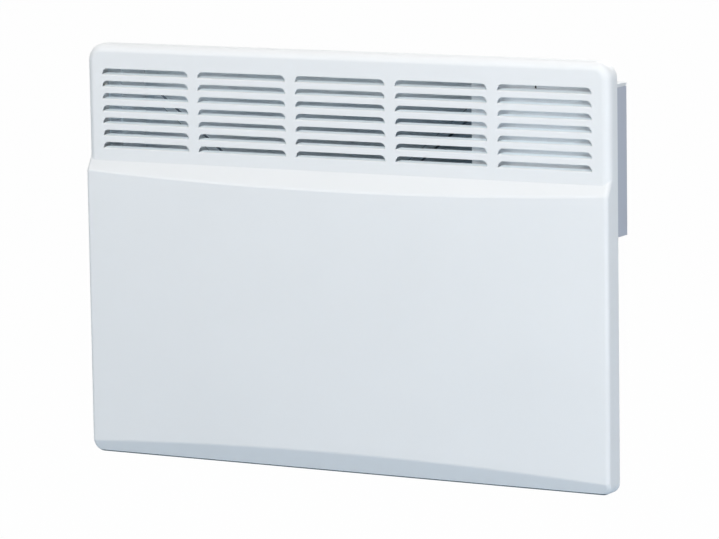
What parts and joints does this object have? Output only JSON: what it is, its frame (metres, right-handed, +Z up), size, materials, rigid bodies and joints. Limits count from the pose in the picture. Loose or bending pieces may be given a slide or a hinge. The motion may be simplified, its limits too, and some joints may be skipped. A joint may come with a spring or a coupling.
{
  "type": "wall panel convector heater",
  "caption": "Slim wall-hung electric convector heater: folded sheet front with louvred grille and bowed lower panel, side control box, finned element and wall bracket.",
  "frame": {"origin": "centre of the wall bracket's four fixing holes, on the wall face", "axes": "+X to the right of someone facing the heater, +Y into the wall, +Z up"},
  "size_m": [0.616, 0.0966, 0.44],
  "materials": {
    "cover_paint": "smooth satin powder coat",
    "galvanised_sheet": "galvanised sheet",
    "bracket_steel": "galvanised sheet",
    "element_steel": "heat-tinted stainless tube",
    "diffuser_aluminium": "extruded, dull",
    "ceramic": "unglazed",
    "silicone": "soft matt",
    "fascia_plastic": "fine grain",
    "knob_plastic": "fine grain",
    "switch_plastic": "fine grain",
    "rocker_plastic": "semi-gloss",
    "lamp_lens": "clear tinted",
    "moulded_insulation": "moulded",
    "terminal_plastic": "moulded",
    "gland_plastic": "moulded",
    "zinc_plate": "bright zinc plate",
    "brass": "turned",
    "copper": "drawn copper",
    "live_insulation": "smooth",
    "neutral_insulation": "smooth",
    "earth_insulation": "green and yellow stripe",
    "rubber": "matt",
    "label": "satin film, blank"
  },
  "bodies": {
    "heater": {"front_cover": "cover_paint", "control_box": "cover_paint", "rear_shell": "galvanised_sheet", "duct_partition": "galvanised_sheet", "element_hanger_left": "galvanised_sheet", "element_hanger_right": "galvanised_sheet", "front_heat_shield": "galvanised_sheet", "rear_heat_shield": "galvanised_sheet", "wall_bracket": "bracket_steel", "element_tube": "element_steel", "element_diffuser": "diffuser_aluminium", "element_terminal_left": "ceramic", "element_terminal_right": "ceramic", "element_bush_left": "silicone", "element_bush_right": "silicone", "partition_grommet": "silicone", "box_grommet": "silicone", "control_fascia": "fascia_plastic", "power_switch_body": "switch_plastic", "heat_switch_body": "switch_plastic", "indicator_lamp": "lamp_lens", "thermostat_body": "moulded_insulation", "overheat_cutout": "moulded_insulation", "terminal_block": "terminal_plastic", "lead_clips": "terminal_plastic", "sensor_clip": "terminal_plastic", "cable_gland": "gland_plastic", "gland_nut": "gland_plastic", "cover_screws": "zinc_plate", "panel_screws": "zinc_plate", "shield_screws": "zinc_plate", "box_screws": "zinc_plate", "catch_pin_left": "zinc_plate", "catch_pin_right": "zinc_plate", "thermostat_nut": "zinc_plate", "earth_screw": "zinc_plate", "terminal_screws": "brass", "sensor_capillary": "copper", "sensor_bulb": "copper", "lead_live": "live_insulation", "lead_thermostat": "live_insulation", "lead_heat": "live_insulation", "lead_switched": "live_insulation", "lead_element_right": "live_insulation", "lead_element_left": "neutral_insulation", "lead_earth": "earth_insulation", "wall_spacer_left": "rubber", "wall_spacer_right": "rubber", "rating_plate": "label"},
    "knob": {"thermostat_knob": "knob_plastic", "thermostat_shaft": "zinc_plate"},
    "power_rocker": {"power_switch_rocker": "rocker_plastic"},
    "heat_rocker": {"heat_switch_rocker": "rocker_plastic"},
    "left_catch": {"bracket_catch_left": "bracket_steel"},
    "right_catch": {"bracket_catch_right": "bracket_steel"}
  },
  "joints": [
    {"name": "knob_turn", "type": "hinge", "parent": "heater", "child": "knob", "pos_m": [0.255, -0.043, 0.149], "axis": [0, 0, -1], "range_deg": [0, 270]},
    {"name": "power_rocker_tilt", "type": "hinge", "parent": "heater", "child": "power_rocker", "pos_m": [0.172, -0.043, 0.1495], "axis": [-1, 0, 0], "range_deg": [0, 16]},
    {"name": "heat_rocker_tilt", "type": "hinge", "parent": "heater", "child": "heat_rocker", "pos_m": [0.197, -0.043, 0.1495], "axis": [-1, 0, 0], "range_deg": [0, 16]},
    {"name": "left_catch_swing", "type": "hinge", "parent": "heater", "child": "left_catch", "pos_m": [-0.06, -0.0158, 0.005], "axis": [0, 1, 0], "range_deg": [0, 90]},
    {"name": "right_catch_swing", "type": "hinge", "parent": "heater", "child": "right_catch", "pos_m": [0.06, -0.0158, 0.005], "axis": [0, -1, 0], "range_deg": [0, 90]}
  ]
}
